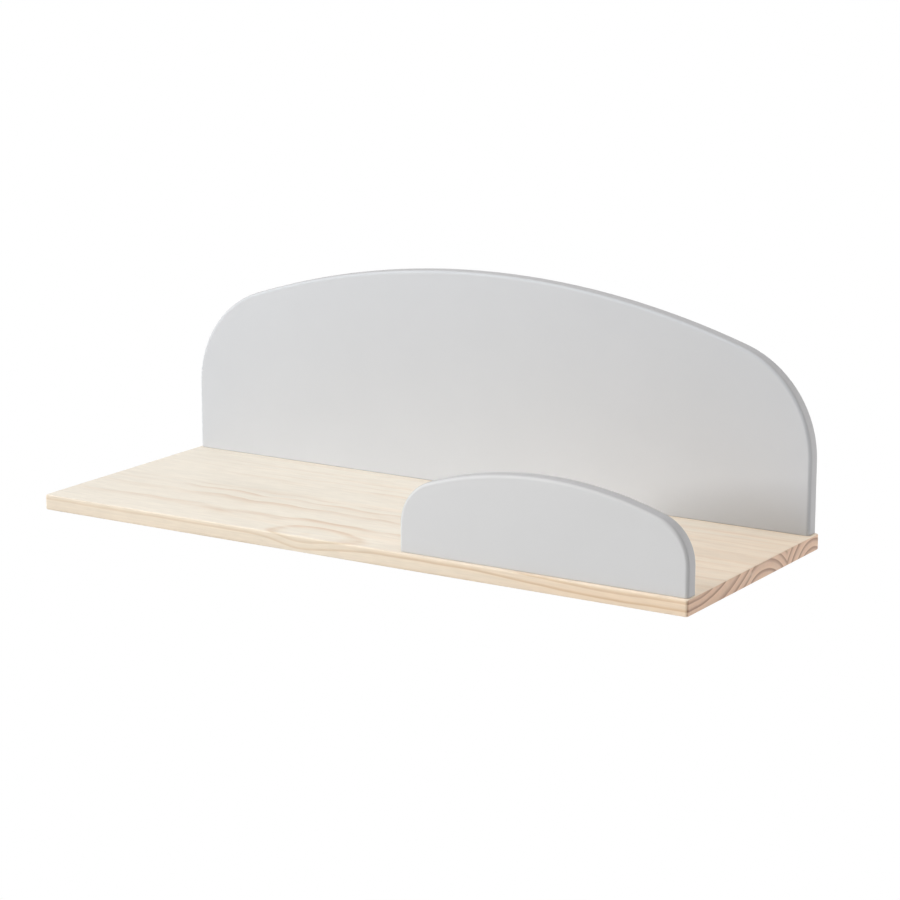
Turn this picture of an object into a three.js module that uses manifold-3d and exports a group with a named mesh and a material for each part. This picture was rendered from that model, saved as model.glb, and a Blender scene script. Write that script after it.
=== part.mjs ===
// Wall shelf: a pine board with a tall arched back panel and a short arched fence at its front right corner.
// Millimetres. +X is to the right, +Y goes back into the wall, +Z is up.
// The origin is on the wall plane, midway between the two keyhole slots, where the wall screws' shanks sit.
import * as THREE from "three";
import { mergeVertices } from "three/addons/utils/BufferGeometryUtils.js";
import Module from "manifold-3d";

const wasm = await Module();
wasm.setup();

// Board, glued up from three staves that run its whole length
const boardLength = 800;
const boardThickness = 17.5;
const frontStaveWidth = 139;
const middleStaveWidth = 84;
const backStaveWidth = 77;
const boardEdgeRadius = 2;
const boardCornerRadius = 3;

// Back panel: straight sides, then a corner arc, then one flat crown arc that touches both corner arcs
const panelSetIn = 3.5;
const panelThickness = 18;
const panelSideHeight = 77.5;
const panelCornerRadius = 122;
const panelCrownRise = 44;
const panelEdgeRadius = 4;

// Front fence: the same outline at its own size
const fenceWidth = 331;
const fenceThickness = 18;
const fenceSideHeight = 29.5;
const fenceCornerRadius = 50;
const fenceCrownRise = 19;
const fenceEdgeRadius = 4;
const fenceSetBack = 4;
const fenceSetIn = 2;

// Screws and dowels that hold the panel and the fence on the board, in one row each
const panelScrewCount = 5;
const panelRowInset = 56;
const fenceScrewCount = 3;
const fenceRowInset = 45;
const dowelDiameter = 8;
const dowelChamfer = 1;
const dowelDepthInUpright = 19;
const boardUnderDowel = 5.5;
const boardScrew = {
  length: 45,
  diameter: 4,
  tip: 5,
  headDiameter: 8,
  headHeight: 2.6,
  rim: 0.4,
  recessWidth: 4.2,
  recessSlot: 0.9,
  recessDepth: 2.1,
};
const boardScrewSink = 0.5;

// Keyhole hanger plates, let into the back of the panel flush with it
const hangerInset = 120;
const hangPointDrop = 103.5;
const plateWidth = 20;
const plateThickness = 2;
const plateEndLand = 15;
const keyholeHeadDiameter = 10;
const keyholeSlotWidth = 5.2;
const keyholeTravel = 12;
const pocketMargin = 1.5;
const panelInFrontOfPocket = 8;
const plateScrew = {
  length: 12,
  diameter: 3,
  tip: 3,
  headDiameter: 6,
  headHeight: 1.6,
  rim: 0.2,
  recessWidth: 3.2,
  recessSlot: 0.7,
  recessDepth: 1.3,
};

// Fits
const clearance = 0.3;
const endClearance = 0.5;
const cutOverrun = 1;

// Facets
const outlineSegments = 12;
const boardCornerSegments = 2;
const edgeSegments = 3;
const roundSegments = 20;

// Points closer than this are one point
const mergeDistance = 1e-4;

// Sizes and places that follow
const boardDepth = frontStaveWidth + middleStaveWidth + backStaveWidth;
const panelWidth = boardLength - 2 * panelSetIn;
const panelHeight = panelSideHeight + panelCornerRadius + panelCrownRise;
const boardTop = hangPointDrop - panelHeight;
const fenceX = boardLength / 2 - fenceSetIn - fenceWidth / 2;
const fenceBack = -boardDepth + fenceSetBack + fenceThickness;
const hangerX = panelWidth / 2 - hangerInset;
const dowelDepthInBoard = boardThickness - boardUnderDowel;
const dowelLength = dowelDepthInBoard + dowelDepthInUpright - 2 * endClearance;
const boardScrewHeadZ = -boardThickness + boardScrewSink;
const keyholeFoot = keyholeTravel + keyholeHeadDiameter / 2;
const keyholeTop = keyholeSlotWidth / 2;
const plateScrewUpperZ = keyholeTop + plateEndLand / 2;
const plateScrewLowerZ = -keyholeFoot - plateEndLand / 2;

const pine = new THREE.MeshStandardMaterial({ color: 0xe8d8bd, roughness: 0.55, metalness: 0 });
const greyPaint = new THREE.MeshStandardMaterial({ color: 0xd3d3d2, roughness: 0.5, metalness: 0 });
const beech = new THREE.MeshStandardMaterial({ color: 0xd2ae80, roughness: 0.7, metalness: 0 });
const zincSteel = new THREE.MeshStandardMaterial({ color: 0xb9bcc0, roughness: 0.35, metalness: 1 });
const sheetSteel = new THREE.MeshStandardMaterial({ color: 0xadb0b3, roughness: 0.45, metalness: 1 });

// A closed geometry as a solid that can be joined and cut
function solidOf(geometry) {
  const bare = geometry.clone();
  bare.deleteAttribute("normal");
  bare.deleteAttribute("uv");
  const merged = mergeVertices(bare, mergeDistance);
  return new wasm.Manifold(
    new wasm.Mesh({
      numProp: 3,
      vertProperties: new Float32Array(merged.attributes.position.array),
      triVerts: new Uint32Array(merged.index.array),
    }),
  );
}

// A solid back as a geometry
function geometryOf(solid) {
  const { vertProperties, triVerts } = solid.getMesh();
  const geometry = new THREE.BufferGeometry();
  geometry.setAttribute("position", new THREE.BufferAttribute(new Float32Array(vertProperties), 3));
  geometry.setIndex(new THREE.BufferAttribute(new Uint32Array(triVerts), 1));
  geometry.computeVertexNormals();
  return geometry;
}

function cutAll(solid, tools) {
  return tools.reduce((rest, tool) => rest.subtract(tool), solid);
}

function box(x0, x1, y0, y1, z0, z1) {
  const geometry = new THREE.BoxGeometry(x1 - x0, y1 - y0, z1 - z0);
  geometry.translate((x0 + x1) / 2, (y0 + y1) / 2, (z0 + z1) / 2);
  return solidOf(geometry);
}

// A shape drawn in X and Z, extruded from the plane y = back towards the front by depth
function extrudeForward(shape, back, depth, edgeRadius = 0) {
  const geometry = new THREE.ExtrudeGeometry(shape, {
    depth: depth - 2 * edgeRadius,
    curveSegments: outlineSegments,
    bevelEnabled: edgeRadius > 0,
    bevelSize: edgeRadius,
    bevelThickness: edgeRadius,
    bevelOffset: -edgeRadius,
    bevelSegments: edgeSegments,
  });
  geometry.translate(0, 0, edgeRadius - back);
  geometry.rotateX(Math.PI / 2);
  return geometry;
}

// A turned solid on the Z axis, from its profile of [radius, z] pairs, lowest z first
function turned(profile) {
  const geometry = new THREE.LatheGeometry(
    profile.map(([radius, z]) => new THREE.Vector2(radius, z)),
    roundSegments,
  );
  geometry.rotateX(Math.PI / 2);
  return geometry;
}

// A slot with round ends in X and Z, between two heights on the line x = 0
function stadium(radius, lower, upper) {
  const shape = new THREE.Shape();
  shape.absarc(0, upper, radius, 0, Math.PI, false);
  shape.absarc(0, lower, radius, Math.PI, 2 * Math.PI, false);
  shape.closePath();
  return shape;
}

// The arched outline in X and Z, from its base line up; skirt is how far it runs on below the base line
function archShape(width, sideHeight, cornerRadius, crownRise, skirt) {
  const side = width / 2;
  const cornerX = side - cornerRadius;
  // The crown arc touches both corner arcs from outside, and stands crownRise above their tops
  const crownRadius =
    (cornerX ** 2 + (cornerRadius + crownRise) ** 2 - cornerRadius ** 2) / (2 * crownRise);
  const crownZ = sideHeight + cornerRadius + crownRise - crownRadius;
  const turn = Math.atan2(sideHeight - crownZ, cornerX);
  const shape = new THREE.Shape();
  shape.moveTo(-side, -skirt);
  shape.lineTo(side, -skirt);
  shape.lineTo(side, sideHeight);
  shape.absarc(cornerX, sideHeight, cornerRadius, 0, turn, false);
  shape.absarc(0, crownZ, crownRadius, turn, Math.PI - turn, false);
  shape.absarc(-cornerX, sideHeight, cornerRadius, Math.PI - turn, Math.PI, false);
  shape.closePath();
  return shape;
}

// An upright: arched sheet with round arrises all round but on its base, which is cut flat at z = 0
function uprightSolid(width, thickness, sideHeight, cornerRadius, crownRise, edgeRadius) {
  const skirt = 2 * edgeRadius;
  const outline = archShape(width, sideHeight, cornerRadius, crownRise, skirt);
  const sheet = solidOf(extrudeForward(outline, 0, thickness, edgeRadius));
  const below = box(-width, width, -2 * thickness, thickness, -2 * skirt, 0);
  return sheet.subtract(below);
}

// The whole board before it is parted into staves, with its top at z = 0 and its back edge at y = 0
function boardSolid() {
  const halfLength = boardLength / 2;
  const radius = boardCornerRadius;
  const plan = new THREE.Shape();
  plan.absarc(halfLength - radius, -radius, radius, 0, Math.PI / 2, false);
  plan.absarc(-halfLength + radius, -radius, radius, Math.PI / 2, Math.PI, false);
  plan.absarc(-halfLength + radius, -boardDepth + radius, radius, Math.PI, 1.5 * Math.PI, false);
  plan.absarc(halfLength - radius, -boardDepth + radius, radius, 1.5 * Math.PI, 2 * Math.PI, false);
  plan.closePath();
  const geometry = new THREE.ExtrudeGeometry(plan, {
    depth: boardThickness - 2 * boardEdgeRadius,
    curveSegments: boardCornerSegments,
    bevelEnabled: true,
    bevelSize: boardEdgeRadius,
    bevelThickness: boardEdgeRadius,
    bevelOffset: -boardEdgeRadius,
    bevelSegments: edgeSegments,
  });
  geometry.translate(0, 0, boardEdgeRadius - boardThickness);
  return solidOf(geometry);
}

// X of the screws, evenly spread between the insets, and of the dowels, one midway between each two screws
function fastenerRow(width, inset, screwCount) {
  const step = (width - 2 * inset) / (screwCount - 1);
  const screws = Array.from({ length: screwCount }, (_, i) => -width / 2 + inset + i * step);
  const dowels = screws.slice(1).map((x) => x - step / 2);
  return { screws, dowels };
}

// A countersunk screw on the Z axis, its flat head face at z = 0 and its tip at z = length
function screwGeometry(screw) {
  const { length, diameter, tip, headDiameter, headHeight, rim } = screw;
  const body = solidOf(
    turned([
      [0, 0],
      [headDiameter / 2, 0],
      [headDiameter / 2, rim],
      [diameter / 2, headHeight],
      [diameter / 2, length - tip],
      [0, length],
    ]),
  );
  const reach = screw.recessWidth / 2;
  const half = screw.recessSlot / 2;
  const across = box(-reach, reach, -half, half, -cutOverrun, screw.recessDepth);
  const along = box(-half, half, -reach, reach, -cutOverrun, screw.recessDepth);
  return geometryOf(cutAll(body, [across, along]));
}

// The hole that a screw goes in: its own profile with clearance all round, run out through the surface
function screwHole({ length, diameter, headDiameter, headHeight, rim }) {
  const headRadius = headDiameter / 2 + clearance;
  const shankRadius = diameter / 2 + clearance;
  return turned([
    [0, -cutOverrun],
    [headRadius, -cutOverrun],
    [headRadius, rim + clearance],
    [shankRadius, headHeight + clearance],
    [shankRadius, length + endClearance],
    [0, length + endClearance],
  ]);
}

function dowelGeometry() {
  const radius = dowelDiameter / 2;
  return turned([
    [0, 0],
    [radius - dowelChamfer, 0],
    [radius, dowelChamfer],
    [radius, dowelLength - dowelChamfer],
    [radius - dowelChamfer, dowelLength],
    [0, dowelLength],
  ]);
}

// A dowel's hole, which reaches down into the board and up into the upright from the joint at z = 0
function dowelHole() {
  const radius = dowelDiameter / 2 + clearance;
  return turned([
    [0, -dowelDepthInBoard],
    [radius, -dowelDepthInBoard],
    [radius, dowelDepthInUpright],
    [0, dowelDepthInUpright],
  ]);
}

// Tools for one row of screws and dowels, in a frame whose z = 0 is the joint between board and upright
function rowTools(row, x, y) {
  const screwTools = row.screws.map((at) =>
    solidOf(screwHole(boardScrew).translate(x + at, y, boardScrewHeadZ)),
  );
  const dowelTools = row.dowels.map((at) => solidOf(dowelHole().translate(x + at, y, 0)));
  return [...screwTools, ...dowelTools];
}

// The room in the panel for one hanger: a shallow seat for the plate, and a pocket for the wall screw's head
function hangerTools(x, hangZ) {
  const seatHalf = plateWidth / 2 + clearance;
  const seat = box(
    x - seatHalf,
    x + seatHalf,
    -plateThickness,
    cutOverrun,
    hangZ - keyholeFoot - plateEndLand - clearance,
    hangZ + keyholeTop + plateEndLand + clearance,
  );
  const pocketShape = stadium(keyholeHeadDiameter / 2 + pocketMargin, -keyholeTravel, 0);
  const pocketDepth = panelThickness - panelInFrontOfPocket;
  const pocket = extrudeForward(pocketShape, cutOverrun, pocketDepth + cutOverrun).translate(x, 0, hangZ);
  const screws = [plateScrewLowerZ, plateScrewUpperZ].map((z) =>
    solidOf(screwHole(plateScrew).rotateX(Math.PI / 2).translate(x, 0, hangZ + z)),
  );
  return [seat, solidOf(pocket), ...screws];
}

// A keyhole hanger plate with its back face at y = 0 and its slot's upper centre at the origin
function hangerPlateGeometry() {
  const plate = box(
    -plateWidth / 2,
    plateWidth / 2,
    -plateThickness,
    0,
    -keyholeFoot - plateEndLand,
    keyholeTop + plateEndLand,
  );
  const through = plateThickness + 2 * cutOverrun;
  const head = new THREE.Shape().absarc(0, -keyholeTravel, keyholeHeadDiameter / 2, 0, 2 * Math.PI, false);
  const slot = stadium(keyholeSlotWidth / 2, -keyholeTravel, 0);
  const keyhole = [head, slot].map((shape) => solidOf(extrudeForward(shape, cutOverrun, through)));
  const screwHoles = [plateScrewLowerZ, plateScrewUpperZ].map((z) =>
    solidOf(screwHole(plateScrew).rotateX(Math.PI / 2).translate(0, 0, z)),
  );
  return geometryOf(cutAll(plate, [...keyhole, ...screwHoles]));
}

const part = new THREE.Group();

function addMesh(parent, name, geometry, material, x = 0, y = 0, z = 0) {
  const mesh = new THREE.Mesh(geometry, material);
  mesh.name = name;
  mesh.position.set(x, y, z);
  parent.add(mesh);
  return mesh;
}

const panelRow = fastenerRow(panelWidth, panelRowInset, panelScrewCount);
const fenceRow = fastenerRow(fenceWidth, fenceRowInset, fenceScrewCount);
const panelMiddleY = -panelThickness / 2;
const fenceMiddleY = fenceBack - fenceThickness / 2;

// Board: its group's origin is the middle of its top back edge
const board = new THREE.Group();
board.position.set(0, 0, boardTop);
part.add(board);
const boardBlank = cutAll(boardSolid(), [
  ...rowTools(panelRow, 0, panelMiddleY),
  ...rowTools(fenceRow, fenceX, fenceMiddleY),
]);
const staves = [
  ["back_stave", 0, -backStaveWidth],
  ["middle_stave", -backStaveWidth, -backStaveWidth - middleStaveWidth],
  ["front_stave", -backStaveWidth - middleStaveWidth, -boardDepth],
];
for (const [name, back, front] of staves) {
  const slab = box(-boardLength, boardLength, front, back, -2 * boardThickness, boardThickness);
  addMesh(board, name, geometryOf(boardBlank.intersect(slab)), pine);
}

// Back panel, on the board's back edge
const panelSheet = uprightSolid(
  panelWidth,
  panelThickness,
  panelSideHeight,
  panelCornerRadius,
  panelCrownRise,
  panelEdgeRadius,
);
const panelTools = [
  ...rowTools(panelRow, 0, panelMiddleY),
  ...hangerTools(-hangerX, -boardTop),
  ...hangerTools(hangerX, -boardTop),
];
addMesh(board, "back_panel", geometryOf(cutAll(panelSheet, panelTools)), greyPaint);

// Front fence, at the right-hand end of the board's front edge
const fenceSheet = uprightSolid(
  fenceWidth,
  fenceThickness,
  fenceSideHeight,
  fenceCornerRadius,
  fenceCrownRise,
  fenceEdgeRadius,
);
const fenceTools = rowTools(fenceRow, 0, -fenceThickness / 2);
addMesh(board, "front_fence", geometryOf(cutAll(fenceSheet, fenceTools)), greyPaint, fenceX, fenceBack);

// Screws and dowels of both joints
function addRow(prefix, row, x, y) {
  row.screws.forEach((at, i) => {
    const name = `${prefix}_screw_${i + 1}`;
    addMesh(board, name, screwGeometry(boardScrew), zincSteel, x + at, y, boardScrewHeadZ);
  });
  row.dowels.forEach((at, i) => {
    const name = `${prefix}_dowel_${i + 1}`;
    addMesh(board, name, dowelGeometry(), beech, x + at, y, endClearance - dowelDepthInBoard);
  });
}
addRow("panel", panelRow, 0, panelMiddleY);
addRow("fence", fenceRow, fenceX, fenceMiddleY);

// Hangers, each a plate with a screw at either end
for (const [side, x] of [
  ["left", -hangerX],
  ["right", hangerX],
]) {
  const hanger = new THREE.Group();
  hanger.position.set(x, 0, 0);
  part.add(hanger);
  addMesh(hanger, `${side}_hanger_plate`, hangerPlateGeometry(), sheetSteel);
  for (const [end, z] of [
    ["lower", plateScrewLowerZ],
    ["upper", plateScrewUpperZ],
  ]) {
    const name = `${side}_hanger_${end}_screw`;
    const screw = addMesh(hanger, name, screwGeometry(plateScrew), zincSteel, 0, 0, z);
    screw.rotation.x = Math.PI / 2;
  }
}

export default part;
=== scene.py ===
import bpy
import numpy as np
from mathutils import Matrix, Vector
from mathutils.geometry import tessellate_polygon


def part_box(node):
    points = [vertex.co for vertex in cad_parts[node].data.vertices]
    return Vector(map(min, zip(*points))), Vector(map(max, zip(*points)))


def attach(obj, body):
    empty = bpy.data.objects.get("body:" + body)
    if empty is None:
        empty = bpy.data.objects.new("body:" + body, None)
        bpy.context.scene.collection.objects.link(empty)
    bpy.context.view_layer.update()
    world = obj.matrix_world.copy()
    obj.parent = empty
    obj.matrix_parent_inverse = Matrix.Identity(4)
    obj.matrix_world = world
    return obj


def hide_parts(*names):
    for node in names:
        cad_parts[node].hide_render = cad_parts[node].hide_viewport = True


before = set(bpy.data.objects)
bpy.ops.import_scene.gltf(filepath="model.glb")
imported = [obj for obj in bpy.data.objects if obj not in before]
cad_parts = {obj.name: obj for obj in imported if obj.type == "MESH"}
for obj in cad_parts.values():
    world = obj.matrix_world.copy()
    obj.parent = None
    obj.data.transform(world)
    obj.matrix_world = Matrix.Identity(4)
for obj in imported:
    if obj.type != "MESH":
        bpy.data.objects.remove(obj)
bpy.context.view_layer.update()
mm = 0.001
quarter = np.pi / 2  # a quarter turn
weldStep = 0.0007 * mm  # points nearer than this become one
holeTurns = np.linspace(0, 4 * quarter, 49)  # a full turn in 48 steps, its last the same as its first


# Lowest and highest corner of a piece of the frame, as arrays
def boxOf(nodeName):
    low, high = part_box(nodeName)
    return np.array(low), np.array(high)


# Surfaces. A patch is its points, the normal at each of them, and faces of four indices.
# A triangle repeats its last index. Patches are made in a piece's own u, v, w and placed at the end.


# Quads between neighbouring rows and columns of a grid of points. Normals may be fewer, for all alike
def gridPatch(points, normals):
    rows, columns = points.shape[:2]
    index = np.arange(rows * columns).reshape(rows, columns)
    quads = np.stack([index[:-1, :-1], index[:-1, 1:], index[1:, 1:], index[1:, :-1]], -1)
    normals = np.broadcast_to(normals, points.shape)
    return points.reshape(-1, 3), normals.reshape(-1, 3), quads.reshape(-1, 4)


# A flat face inside its first loop and outside the other loops, cut into triangles
def flatPatch(loops, normal):
    corners = [list(map(Vector, loop)) for loop in loops]
    triangles = np.array(tessellate_polygon(corners))
    points = np.concatenate(loops)
    faces = np.column_stack([triangles, triangles[:, 2]])
    return points, np.broadcast_to(normal, points.shape), faces


# Normals of a grid whose last column meets its first: the cross product of the two central differences,
# over its length. Where a ring has shrunk to a point they come out as nought
def roundNormals(points):
    wrapped = np.concatenate([points[:, -2:-1], points, points[:, 1:2]], 1)
    around = wrapped[:, 2:] - wrapped[:, :-2]
    along = np.gradient(points, axis=0)
    normals = np.cross(around, along)
    length = np.linalg.norm(normals, axis=-1, keepdims=True)
    return normals / np.maximum(length, 1e-12)


# A piece's name from its node's: back_panel gives backPanel
def pieceName(nodeName):
    first, *others = nodeName.split("_")
    return first + "".join(word.capitalize() for word in others)


# A new object in the scene that holds a mesh, a lamp or a camera
def newObject(name, data):
    holder = bpy.data.objects.new(name, data)
    bpy.context.scene.collection.objects.link(holder)
    return holder


# A mesh object from patches: points = origin + u, v, w times the three axes. Points that coincide are
# welded, faces that shrink to a line are dropped, and each face is turned to agree with its normals
def pieceFromPatches(nodeName, patches, origin=(0, 0, 0), axes=np.eye(3)):
    points = np.concatenate([patch[0] for patch in patches]) @ axes + origin
    normals = np.concatenate([patch[1] for patch in patches]) @ axes
    starts = np.cumsum([0] + [len(patch[0]) for patch in patches[:-1]])
    faces = np.concatenate([patch[2] + start for patch, start in zip(patches, starts)])
    diagonals = points[faces[:, 2:]] - points[faces[:, :2]]
    facing = np.cross(diagonals[:, 0], diagonals[:, 1])
    facingOut = np.einsum("ij,ij->i", facing, normals[faces].sum(1)) > 0
    faces = np.where(facingOut[:, None], faces, faces[:, ::-1])
    keys = np.round(points / weldStep).astype(np.int64)
    _, first, welded = np.unique(keys, axis=0, return_index=True, return_inverse=True)
    corners = welded.reshape(-1)[faces]
    kept = corners != np.roll(corners, -1, axis=1)
    whole = kept.sum(1) >= 3
    kept &= whole[:, None]
    counts = kept.sum(1)[whole]
    mesh = bpy.data.meshes.new(pieceName(nodeName))
    mesh.vertices.add(len(first))
    mesh.vertices.foreach_set("co", points[first].astype(np.float32).ravel())
    mesh.loops.add(int(counts.sum()))
    mesh.loops.foreach_set("vertex_index", corners[kept].astype(np.int32))
    mesh.polygons.add(len(counts))
    mesh.polygons.foreach_set("loop_start", np.concatenate([[0], np.cumsum(counts)[:-1]]).astype(np.int32))
    mesh.update(calc_edges=True)
    mesh.shade_smooth()
    mesh.normals_split_custom_set(normals[faces[kept]].tolist())
    return newObject(mesh.name, mesh)


# An arc of points and outward normals in u and v: centre + radius times the direction of each angle
def arc(centre, radius, start, end, steps):
    turns = np.linspace(start, end, steps + 1)
    normals = np.column_stack([np.cos(turns), np.sin(turns)])
    return np.array(centre) + radius * normals, normals


# Two ends of a straight stretch, with its outward normal: the right-hand side of the way it runs
def straight(start, end):
    ends = np.array([start, end], float)
    way = (ends[1] - ends[0]) / np.linalg.norm(ends[1] - ends[0])
    return ends, np.array([[way[1], -way[0]]] * 2)


# Points and normals of several stretches one after another
def joined(*stretches):
    return tuple(np.concatenate([stretch[part] for stretch in stretches]) for part in (0, 1))


# Arrays that run round a loop, each with its first entry again at its end
def closedUp(*parts):
    return [np.concatenate([part, part[:1]]) for part in parts]


# A loop at one height as points in space, without its repeated points
def loopAt(points, height):
    apart = np.linalg.norm(points - np.roll(points, 1, axis=0), axis=1) > weldStep
    return np.column_stack([points[apart], np.full(apart.sum(), height)])


# A wall round a hole's loop between two depths, facing into the hole
def holeWall(points, normals, start, end):
    points, normals = closedUp(points, normals)
    grid = np.stack([np.column_stack([points, np.full(len(points), depth)]) for depth in (start, end)], 1)
    inward = np.column_stack([-normals, np.zeros(len(normals))])
    return gridPatch(grid, inward[:, None])


# A drilled hole along axis 1 (v) or 2 (w): ring = centre + radius (cos, sin) + depth along the way in.
# A wall joins each ring to the next, its normal -change of depth outwards and change of radius along the
# way in, over the length of both. Gives the walls and the first and last ring
def drill(centre, axis, inward, steps):
    radii, depths = np.array(steps).T
    directions = np.zeros((len(holeTurns), 3))
    directions[:, 0] = np.cos(holeTurns)
    directions[:, 3 - axis] = np.sin(holeTurns)
    way = inward * np.eye(3)[axis]
    outwards, inwards = np.multiply.outer(radii, directions), np.multiply.outer(depths, way)[:, None]
    rings = np.array(centre) + outwards + inwards
    walls = []
    for i, (wider, deeper) in enumerate(zip(np.diff(radii), np.diff(depths))):
        normals = (wider * way - deeper * directions) / np.hypot(wider, deeper)
        walls.append(gridPatch(rings[i : i + 2], normals))
    return walls, rings[0, :-1], rings[-1, :-1]


# Profile across the rim of a slab from its low face to its high one: quarter round, straight band, quarter
# round. Gives the inset from the outline, the height, and the normal's outward and upward parts
def rimProfile(thickness, radius, steps=8):
    turns = np.linspace(0, quarter, steps + 1)
    inset = radius * (1 - np.sin(turns))
    height = radius * (1 - np.cos(turns))
    return (
        np.concatenate([inset, inset[::-1]]),
        np.concatenate([height, thickness - height[::-1]]),
        np.concatenate([np.sin(turns), np.sin(turns)[::-1]]),
        np.concatenate([-np.cos(turns), np.cos(turns)[::-1]]),
    )


# A chamfer round a cut face: sole = section + chamfer times (the face's normal - the rim's own), with a
# slope that faces between the two. Gives the slope's patch and the sole
def footChamfer(section, rimNormals, faceNormal, chamfer):
    sole = section + chamfer * (faceNormal - rimNormals)
    between = (rimNormals + faceNormal) / np.sqrt(2)
    return gridPatch(*closedUp(np.stack([section, sole], 1), np.stack([between, between], 1))), sole


# A slab with its outline in u and v and its thickness along w. The rim profile is carried along each path:
# point = path - inset times its normal. From the end of each open path to the next the slab is cut flat.
# With a foot, the paths start that far above v = 0, and a chamfer narrows the slab down to its cut face
def slab(paths, thickness, radius, lowHoles=(), highHoles=(), cutHoles=(), closed=False, foot=0):
    inset, height, outward, upward = rimProfile(thickness, radius)
    patches, rims, slopes = [], [], []
    for points, normals in paths:
        if closed:
            points, normals = closedUp(points, normals)
        across = points[:, None] - inset[:, None] * normals[:, None]
        tilted = outward[:, None] * normals[:, None]
        rims.append(np.dstack([across, np.broadcast_to(height, across.shape[:2])]))
        slopes.append(np.dstack([tilted, np.broadcast_to(upward, across.shape[:2])]))
        patches.append(gridPatch(rims[-1], slopes[-1]))
    for side, holes, normal in ((0, lowHoles, (0, 0, -1)), (-1, highHoles, (0, 0, 1))):
        face = np.concatenate([rim[:, side] for rim in rims])
        patches.append(flatPatch([loopAt(face[:, :2], face[0, 2]), *holes], normal))
    if closed:
        return patches
    for i, rim in enumerate(rims):
        following = (i + 1) % len(rims)
        way = rims[following][0, 0] - rim[-1, 0]
        normal = np.array([way[1], -way[0], 0]) / np.linalg.norm(way)
        section = np.concatenate([rim[-1], rims[following][0, ::-1]])
        if foot:
            rimNormals = np.concatenate([slopes[i][-1], slopes[following][0, ::-1]])
            slope, section = footChamfer(section, rimNormals, normal, foot)
            patches.append(slope)
        patches.append(flatPatch([section, *cutHoles], normal))
    return patches


# Screws. The core is the thread's inner diameter as a share of its outer one, and the recess is a cross
boardScrew = {
    "diameter": 4 * mm,
    "headHeight": 2.6 * mm,
    "headRim": 0.4 * mm,
    "plainLength": 14 * mm,
    "pitch": 1.8 * mm,
    "core": 0.66,
    "tip": 5 * mm,
    "recessReach": 2.1 * mm,
    "recessHalf": 0.45 * mm,
    "recessDepth": 2.1 * mm,
}
plateScrew = {
    "diameter": 3 * mm,
    "headHeight": 1.6 * mm,
    "headRim": 0.2 * mm,
    "plainLength": 2.4 * mm,
    "pitch": 1.1 * mm,
    "core": 0.66,
    "tip": 3 * mm,
    "recessReach": 1.6 * mm,
    "recessHalf": 0.35 * mm,
    "recessDepth": 1.3 * mm,
}

# Columns of a screw, drawn together at the four arms of its recess: angle - 0.7 sin(4 angle) / 4
evenTurns = np.linspace(0, 4 * quarter, 65)
screwTurns = evenTurns - 0.7 * np.sin(4 * evenTurns) / 4


# 0 below the low edge, 1 above the high edge, and t squared times (3 - 2t) between
def smoothStep(low, high, values):
    t = np.clip((values - low) / (high - low), 0, 1)
    return t * t * (3 - 2 * t)


# Points of a turned surface: (radius cos, radius sin, height), each of which may change over the grid
def turnedGrid(radii, heights, turns):
    radii, heights, turns = np.broadcast_arrays(radii, heights, turns)
    return np.stack([radii * np.cos(turns), radii * np.sin(turns), heights], -1)


# A countersunk screw, w from the flat of its head to its tip. Head: the depth of a cross, whose arms fade
# at their sides and ends. Thread: the radius lies between core and crest by a tooth wave of
# height / pitch - angle / full turn, and shrinks along the tip
def makeScrew(nodeName, shape, axes):
    low, high = boxOf(nodeName)
    length = (high - low) @ np.abs(axes[2])
    origin = (low + high) / 2 - axes[2] * length / 2
    headRadius, crest = (high[0] - low[0]) / 2, shape["diameter"] / 2
    reach, half = shape["recessReach"], shape["recessHalf"]
    rings = np.append(np.linspace(0, reach * 1.05, 15), headRadius)[:, None]
    x, y = np.abs(rings * np.cos(screwTurns)), np.abs(rings * np.sin(screwTurns))
    arms = 1 - smoothStep(half * 0.8, half * 1.2, np.minimum(x, y))
    ends = 1 - smoothStep(reach * 0.8, reach, np.maximum(x, y))
    depth = shape["recessDepth"] * arms * ends * (1 - 0.5 * rings / reach)  # half as deep at the arms' ends
    face = turnedGrid(rings, depth, screwTurns)
    faceNormals = roundNormals(face)
    faceNormals[[0, -1]] = (0, 0, -1)
    patches = [gridPatch(face, faceNormals)]
    plain, pitch = shape["plainLength"], shape["pitch"]
    headRim, headHeight = shape["headRim"], shape["headHeight"]
    profile = [(headRadius, 0), (headRadius, headRim), (crest, headHeight), (crest, plain)]
    for (r0, h0), (r1, h1) in zip(profile, profile[1:]):
        wall = turnedGrid(np.array([[r0], [r1]]), np.array([[h0], [h1]]), screwTurns)
        normals = turnedGrid(h1 - h0, r0 - r1, screwTurns) / np.hypot(h1 - h0, r0 - r1)
        patches.append(gridPatch(wall, normals))
    rows = int((length - plain) / pitch * 8)  # 8 to each turn of the thread
    heights = np.linspace(plain, length, rows)[:, None]
    outer = crest * np.clip((length - heights) / shape["tip"], 0, 1)
    wave = (heights / pitch - screwTurns / (4 * quarter)) % 1
    tooth = np.clip(1.6 * np.abs(2 * wave - 1) - 0.6, 0, 1)  # a sharp crest, and a groove with a flat floor
    runIn = smoothStep(0, pitch, heights - plain)
    groove = outer * (1 - shape["core"]) * (1 - tooth) * runIn
    thread = turnedGrid(outer - groove, heights, screwTurns)
    threadNormals = roundNormals(thread)
    threadNormals[-1] = (0, 0, 1)
    patches.append(gridPatch(thread, threadNormals))
    return pieceFromPatches(nodeName, patches, origin, axes)


dowelShape = {"chamfer": 1 * mm, "flutes": 16, "fluteDepth": 0.35 * mm}


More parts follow.
